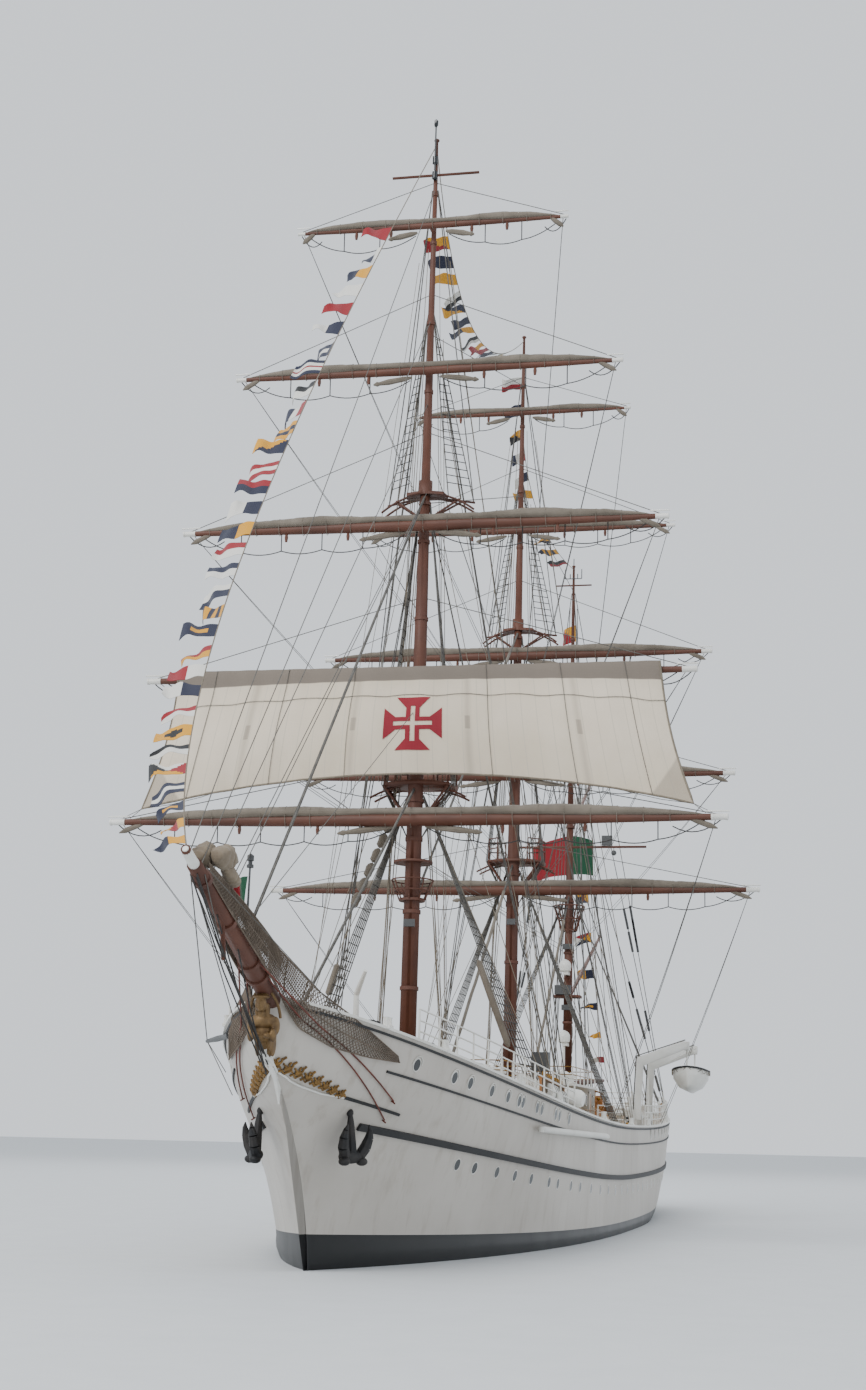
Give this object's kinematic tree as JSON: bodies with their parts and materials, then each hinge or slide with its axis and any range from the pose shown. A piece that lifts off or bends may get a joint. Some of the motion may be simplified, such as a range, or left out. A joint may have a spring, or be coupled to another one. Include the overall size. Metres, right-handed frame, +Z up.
{
  "type": "three-masted barque, 1:10 scale model",
  "caption": "Three-masted square-rigged barque afloat, with braced yards, a set topsail, swinging spanker spars, steering rudder, turning propeller and luffing boat davits.",
  "frame": {"origin": "amidships on the centre line, at the waterline the hull floats at", "axes": "+X towards the bow, +Y to port, +Z up"},
  "size_m": [8.9148, 2.4, 5.0445],
  "materials": {
    "white_hull": "semi-gloss white paint",
    "spar_paint": "red-brown enamel",
    "varnished_wood": "varnished",
    "white_paint": "white enamel",
    "sailcloth": "woven",
    "grey_sail_cover": "woven",
    "gilded_wood": "gilded",
    "black_iron": "black paint",
    "bronze": "cast",
    "served_wire": "grey serving"
  },
  "bodies": {
    "root": {"hull": "white_hull", "bowsprit": "spar_paint", "figurehead": "gilded_wood", "port_anchor": "black_iron", "starboard_anchor": "black_iron", "fore_lower_mast": "spar_paint", "fore_top": "spar_paint", "fore_upper_mast": "spar_paint", "main_lower_mast": "spar_paint", "main_top": "spar_paint", "main_upper_mast": "spar_paint", "mizzen_lower_mast": "spar_paint", "mizzen_upper_mast": "spar_paint", "furled_spanker": "grey_sail_cover", "fore_house": "white_paint", "main_house": "white_paint", "windlass": "white_paint", "helm_box": "varnished_wood", "port_davit_bearings": "white_paint", "starboard_davit_bearings": "white_paint", "port_life_rafts": "white_paint", "starboard_life_rafts": "white_paint", "fore_stay": "served_wire", "fore_topmast_stay": "served_wire", "main_stay": "served_wire", "main_topmast_stay": "served_wire", "mizzen_stay": "served_wire", "dressing_flags": "sailcloth"},
    "rudder": {"rudder": "white_hull"},
    "helm_wheel": {"helm_wheel": "varnished_wood"},
    "propeller": {"propeller": "bronze"},
    "fore_course_yard": {"fore_course_yard": "spar_paint", "fore_course_furled_sail": "grey_sail_cover"},
    "fore_lower_topsail_yard": {"fore_lower_topsail_yard": "spar_paint", "fore_lower_topsail": "sailcloth"},
    "fore_upper_topsail_yard": {"fore_upper_topsail_yard": "spar_paint", "fore_upper_topsail_furled_sail": "grey_sail_cover"},
    "fore_topgallant_yard": {"fore_topgallant_yard": "spar_paint", "fore_topgallant_furled_sail": "grey_sail_cover"},
    "fore_royal_yard": {"fore_royal_yard": "spar_paint", "fore_royal_furled_sail": "grey_sail_cover"},
    "main_course_yard": {"main_course_yard": "spar_paint", "main_course_furled_sail": "grey_sail_cover"},
    "main_lower_topsail_yard": {"main_lower_topsail_yard": "spar_paint", "main_lower_topsail_furled_sail": "grey_sail_cover"},
    "main_upper_topsail_yard": {"main_upper_topsail_yard": "spar_paint", "main_upper_topsail_furled_sail": "grey_sail_cover"},
    "main_topgallant_yard": {"main_topgallant_yard": "spar_paint", "main_topgallant_furled_sail": "grey_sail_cover"},
    "main_royal_yard": {"main_royal_yard": "spar_paint", "main_royal_furled_sail": "grey_sail_cover"},
    "spanker_boom": {"spanker_boom": "varnished_wood"},
    "spanker_lower_gaff": {"spanker_lower_gaff": "varnished_wood"},
    "spanker_upper_gaff": {"spanker_upper_gaff": "varnished_wood"},
    "port_davit": {"port_davit": "white_paint"},
    "port_boat": {"port_boat": "white_paint"},
    "port_boat_boom": {"port_boat_boom": "white_paint"},
    "starboard_davit": {"starboard_davit": "white_paint"},
    "starboard_boat": {"starboard_boat": "white_paint"},
    "starboard_boat_boom": {"starboard_boat_boom": "white_paint"}
  },
  "joints": [
    {"name": "rudder_turn", "type": "hinge", "parent": "root", "child": "rudder", "pos_m": [-3.48, 0, -0.3], "axis": [0, 0, 1], "range_deg": [-35, 35]},
    {"name": "helm_turn", "type": "hinge", "parent": "root", "child": "helm_wheel", "pos_m": [-3.34, 0, 0.64], "axis": [1, 0, 0], "range_deg": [-360, 360]},
    {"name": "propeller_spin", "type": "hinge", "parent": "root", "child": "propeller", "pos_m": [-3.335, 0, -0.295], "axis": [1, 0, 0], "continuous": true},
    {"name": "fore_course_brace", "type": "hinge", "parent": "root", "child": "fore_course_yard", "pos_m": [2.20065, 0, 1.58082], "axis": [-0.0394, 0, 0.9992], "range_deg": [-30, 30]},
    {"name": "fore_lower_topsail_brace", "type": "hinge", "parent": "root", "child": "fore_lower_topsail_yard", "pos_m": [2.17118, 0, 2.1501], "axis": [-0.0394, 0, 0.9992], "range_deg": [-30, 30]},
    {"name": "fore_upper_topsail_brace", "type": "hinge", "parent": "root", "child": "fore_upper_topsail_yard", "pos_m": [2.14089, 0, 2.76539], "axis": [-0.0394, 0, 0.9992], "range_deg": [-30, 30]},
    {"name": "fore_topgallant_brace", "type": "hinge", "parent": "root", "child": "fore_topgallant_yard", "pos_m": [2.10772, 0, 3.42859], "axis": [-0.0394, 0, 0.9992], "range_deg": [-30, 30]},
    {"name": "fore_royal_brace", "type": "hinge", "parent": "root", "child": "fore_royal_yard", "pos_m": [2.07728, 0, 4.0729], "axis": [-0.0394, 0, 0.9992], "range_deg": [-30, 30]},
    {"name": "main_course_brace", "type": "hinge", "parent": "root", "child": "main_course_yard", "pos_m": [-0.07435, 0, 1.58082], "axis": [-0.0394, 0, 0.9992], "range_deg": [-30, 30]},
    {"name": "main_lower_topsail_brace", "type": "hinge", "parent": "root", "child": "main_lower_topsail_yard", "pos_m": [-0.10382, 0, 2.1501], "axis": [-0.0394, 0, 0.9992], "range_deg": [-30, 30]},
    {"name": "main_upper_topsail_brace", "type": "hinge", "parent": "root", "child": "main_upper_topsail_yard", "pos_m": [-0.13411, 0, 2.76539], "axis": [-0.0394, 0, 0.9992], "range_deg": [-30, 30]},
    {"name": "main_topgallant_brace", "type": "hinge", "parent": "root", "child": "main_topgallant_yard", "pos_m": [-0.16728, 0, 3.42859], "axis": [-0.0394, 0, 0.9992], "range_deg": [-30, 30]},
    {"name": "main_royal_brace", "type": "hinge", "parent": "root", "child": "main_royal_yard", "pos_m": [-0.19772, 0, 4.0729], "axis": [-0.0394, 0, 0.9992], "range_deg": [-30, 30]},
    {"name": "spanker_boom_swing", "type": "hinge", "parent": "root", "child": "spanker_boom", "pos_m": [-2.10835, 0, 0.71747], "axis": [-0.0394, 0, 0.9992], "range_deg": [-35, 35]},
    {"name": "spanker_lower_gaff_swing", "type": "hinge", "parent": "root", "child": "spanker_lower_gaff", "pos_m": [-2.12807, 0, 1.21708], "axis": [-0.0394, 0, 0.9992], "range_deg": [-35, 35]},
    {"name": "spanker_upper_gaff_swing", "type": "hinge", "parent": "root", "child": "spanker_upper_gaff", "pos_m": [-2.16672, 0, 2.19632], "axis": [-0.0394, 0, 0.9992], "range_deg": [-35, 35]},
    {"name": "port_davit_luff", "type": "hinge", "parent": "root", "child": "port_davit", "pos_m": [-1.12, 0.535, 0.525], "axis": [1, 0, 0], "range_deg": [0, 55]},
    {"name": "port_boat_hang", "type": "hinge", "parent": "port_davit", "child": "port_boat", "pos_m": [-1.12, 0.785, 0.89], "axis": [1, 0, 0], "range_deg": [-55, 0]},
    {"name": "port_boat_boom_swing", "type": "hinge", "parent": "root", "child": "port_boat_boom", "pos_m": [2.32, 0.53145, 0.44], "axis": [0, 0, -1], "range_deg": [0, 90]},
    {"name": "starboard_davit_luff", "type": "hinge", "parent": "root", "child": "starboard_davit", "pos_m": [-1.12, -0.535, 0.525], "axis": [-1, 0, 0], "range_deg": [0, 55]},
    {"name": "starboard_boat_hang", "type": "hinge", "parent": "starboard_davit", "child": "starboard_boat", "pos_m": [-1.12, -0.785, 0.89], "axis": [-1, 0, 0], "range_deg": [-55, 0]},
    {"name": "starboard_boat_boom_swing", "type": "hinge", "parent": "root", "child": "starboard_boat_boom", "pos_m": [2.32, -0.53145, 0.44], "axis": [0, 0, 1], "range_deg": [0, 90]}
  ],
  "couplings": [
    {"joint": "helm_turn", "follows": "rudder_turn", "ratio": 10},
    {"joint": "fore_lower_topsail_brace", "follows": "fore_course_brace", "ratio": 1},
    {"joint": "fore_upper_topsail_brace", "follows": "fore_course_brace", "ratio": 1},
    {"joint": "fore_topgallant_brace", "follows": "fore_course_brace", "ratio": 1},
    {"joint": "fore_royal_brace", "follows": "fore_course_brace", "ratio": 1},
    {"joint": "main_lower_topsail_brace", "follows": "main_course_brace", "ratio": 1},
    {"joint": "main_upper_topsail_brace", "follows": "main_course_brace", "ratio": 1},
    {"joint": "main_topgallant_brace", "follows": "main_course_brace", "ratio": 1},
    {"joint": "main_royal_brace", "follows": "main_course_brace", "ratio": 1},
    {"joint": "spanker_lower_gaff_swing", "follows": "spanker_boom_swing", "ratio": 1},
    {"joint": "spanker_upper_gaff_swing", "follows": "spanker_boom_swing", "ratio": 1},
    {"joint": "port_boat_hang", "follows": "port_davit_luff", "ratio": -1},
    {"joint": "starboard_boat_hang", "follows": "starboard_davit_luff", "ratio": -1}
  ]
}
